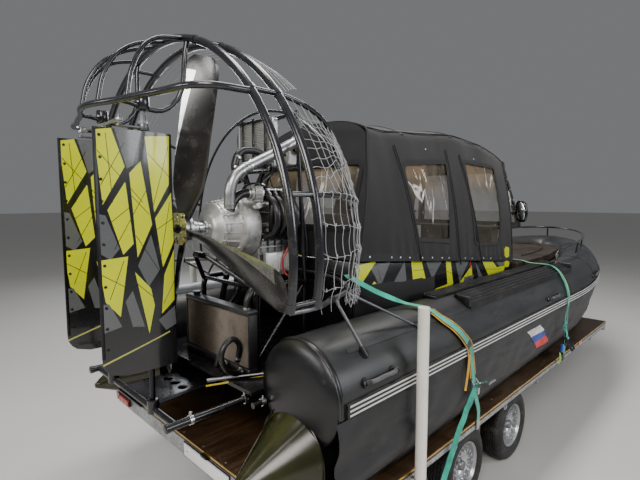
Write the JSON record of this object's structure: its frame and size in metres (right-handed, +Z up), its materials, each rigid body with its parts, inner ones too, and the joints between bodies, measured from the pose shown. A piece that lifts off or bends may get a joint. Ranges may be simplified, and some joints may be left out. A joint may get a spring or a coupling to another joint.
{
  "type": "hovercraft",
  "caption": "Air-propeller hovercraft with inflated side tubes, fabric cabin top, caged rear propeller and rudders, strapped down on a flat-deck tandem-axle trailer.",
  "frame": {"origin": "on the ground under the middle of the whole length, with the trailer", "axes": "+X to the bow and the trailer's coupling, +Y to port, +Z up"},
  "size_m": [7.736, 2.474, 3.0134],
  "materials": {
    "plywood": "satin",
    "frame_steel": "satin",
    "lamp_red": "gloss",
    "plate_white": "satin",
    "tyre_rubber": "matt",
    "wheel_silver": "satin",
    "post_white": "satin",
    "tube_grey": "satin",
    "cone_olive": "gloss",
    "strake_black": "satin",
    "skirt_fabric": "matt",
    "step_black": "matt",
    "hull_black": "satin",
    "coaming_print": "gloss",
    "foredeck_dark": "satin",
    "canopy_fabric": "matt",
    "clear_vinyl": "gloss",
    "black_gloss": "gloss",
    "seat_vinyl": "satin",
    "dash_plastic": "matt",
    "tube_black": "gloss",
    "engine_metal": "satin",
    "gearbox_metal": "satin",
    "manifold_black": "satin",
    "pipe_grey": "satin",
    "cooler_fins": "satin",
    "airbox_white": "satin",
    "radiator_fins": "satin",
    "rudder_print": "gloss",
    "rod_silver": "gloss",
    "strap_webbing": "satin"
  },
  "bodies": {
    "craft_and_trailer": {"trailer_deck": "plywood", "trailer_frame": "frame_steel", "rear_lamp_left": "lamp_red", "rear_lamp_right": "lamp_red", "number_plate": "plate_white", "axle_rear": "frame_steel", "axle_front": "frame_steel", "parking_jack": "frame_steel", "guide_post_left": "post_white", "guide_post_right": "post_white", "skeg_tube": "strake_black", "tail_cone_left": "cone_olive", "tail_cone_right": "cone_olive", "inflatable_collar": "tube_grey", "rubbing_strake": "strake_black", "skirt": "skirt_fabric", "side_step_outer_left": "step_black", "side_step_inner_left": "step_black", "side_step_outer_right": "step_black", "side_step_inner_right": "step_black", "hull": "hull_black", "cabin_coaming": "coaming_print", "foredeck": "foredeck_dark", "canopy": "canopy_fabric", "side_window_rear_left": "clear_vinyl", "side_window_rear_right": "clear_vinyl", "side_window_front_left": "clear_vinyl", "side_window_front_right": "clear_vinyl", "rear_window": "clear_vinyl", "windscreen": "clear_vinyl", "wing_mirror_left": "black_gloss", "seat_left": "seat_vinyl", "wing_mirror_right": "black_gloss", "seat_right": "seat_vinyl", "dashboard": "dash_plastic", "bow_rail": "tube_black", "engine_frame": "tube_black", "engine_block": "engine_metal", "reduction_gearbox": "gearbox_metal", "intake_manifold": "manifold_black", "intake_pipe": "pipe_grey", "charge_cooler": "cooler_fins", "airbox": "airbox_white", "radiator": "radiator_fins", "guard_cage": "tube_black", "stern_frame": "tube_black", "strap_bow": "strap_webbing", "strap_stern": "strap_webbing"},
    "propeller": {"propeller": "black_gloss"},
    "rudder_right": {"rudder_right": "rudder_print"},
    "rudder_left": {"rudder_left": "rudder_print"},
    "tie_rod": {"tie_rod": "rod_silver"},
    "trailer_wheel_rear_left": {"tyre_rear_left": "tyre_rubber", "wheel_rear_left": "wheel_silver"},
    "trailer_wheel_rear_right": {"tyre_rear_right": "tyre_rubber", "wheel_rear_right": "wheel_silver"},
    "trailer_wheel_front_left": {"tyre_front_left": "tyre_rubber", "wheel_front_left": "wheel_silver"},
    "trailer_wheel_front_right": {"tyre_front_right": "tyre_rubber", "wheel_front_right": "wheel_silver"}
  },
  "joints": [
    {"name": "propeller_spin", "type": "hinge", "parent": "craft_and_trailer", "child": "propeller", "pos_m": [-3.292, 0, 1.962], "axis": [1, 0, 0], "continuous": true},
    {"name": "rudder_right_turn", "type": "hinge", "parent": "craft_and_trailer", "child": "rudder_right", "pos_m": [-3.632, -0.27, 1.9], "axis": [0, 0, 1], "range_deg": [-25, 25]},
    {"name": "rudder_left_turn", "type": "hinge", "parent": "craft_and_trailer", "child": "rudder_left", "pos_m": [-3.632, 0.27, 1.9], "axis": [0, 0, 1], "range_deg": [-25, 25]},
    {"name": "tie_rod_swing", "type": "hinge", "parent": "rudder_right", "child": "tie_rod", "pos_m": [-3.747, -0.27, 2.51], "axis": [0, 0, 1], "range_deg": [-25, 25]},
    {"name": "trailer_wheel_rear_left_spin", "type": "hinge", "parent": "craft_and_trailer", "child": "trailer_wheel_rear_left", "pos_m": [-1.802, 1.012, 0.285], "axis": [0, 1, 0], "continuous": true},
    {"name": "trailer_wheel_rear_right_spin", "type": "hinge", "parent": "craft_and_trailer", "child": "trailer_wheel_rear_right", "pos_m": [-1.802, -1.012, 0.285], "axis": [0, 1, 0], "continuous": true},
    {"name": "trailer_wheel_front_left_spin", "type": "hinge", "parent": "craft_and_trailer", "child": "trailer_wheel_front_left", "pos_m": [-0.992, 1.012, 0.285], "axis": [0, 1, 0], "continuous": true},
    {"name": "trailer_wheel_front_right_spin", "type": "hinge", "parent": "craft_and_trailer", "child": "trailer_wheel_front_right", "pos_m": [-0.992, -1.012, 0.285], "axis": [0, 1, 0], "continuous": true}
  ],
  "couplings": [
    {"joint": "rudder_left_turn", "follows": "rudder_right_turn", "ratio": 1},
    {"joint": "tie_rod_swing", "follows": "rudder_right_turn", "ratio": -1}
  ]
}
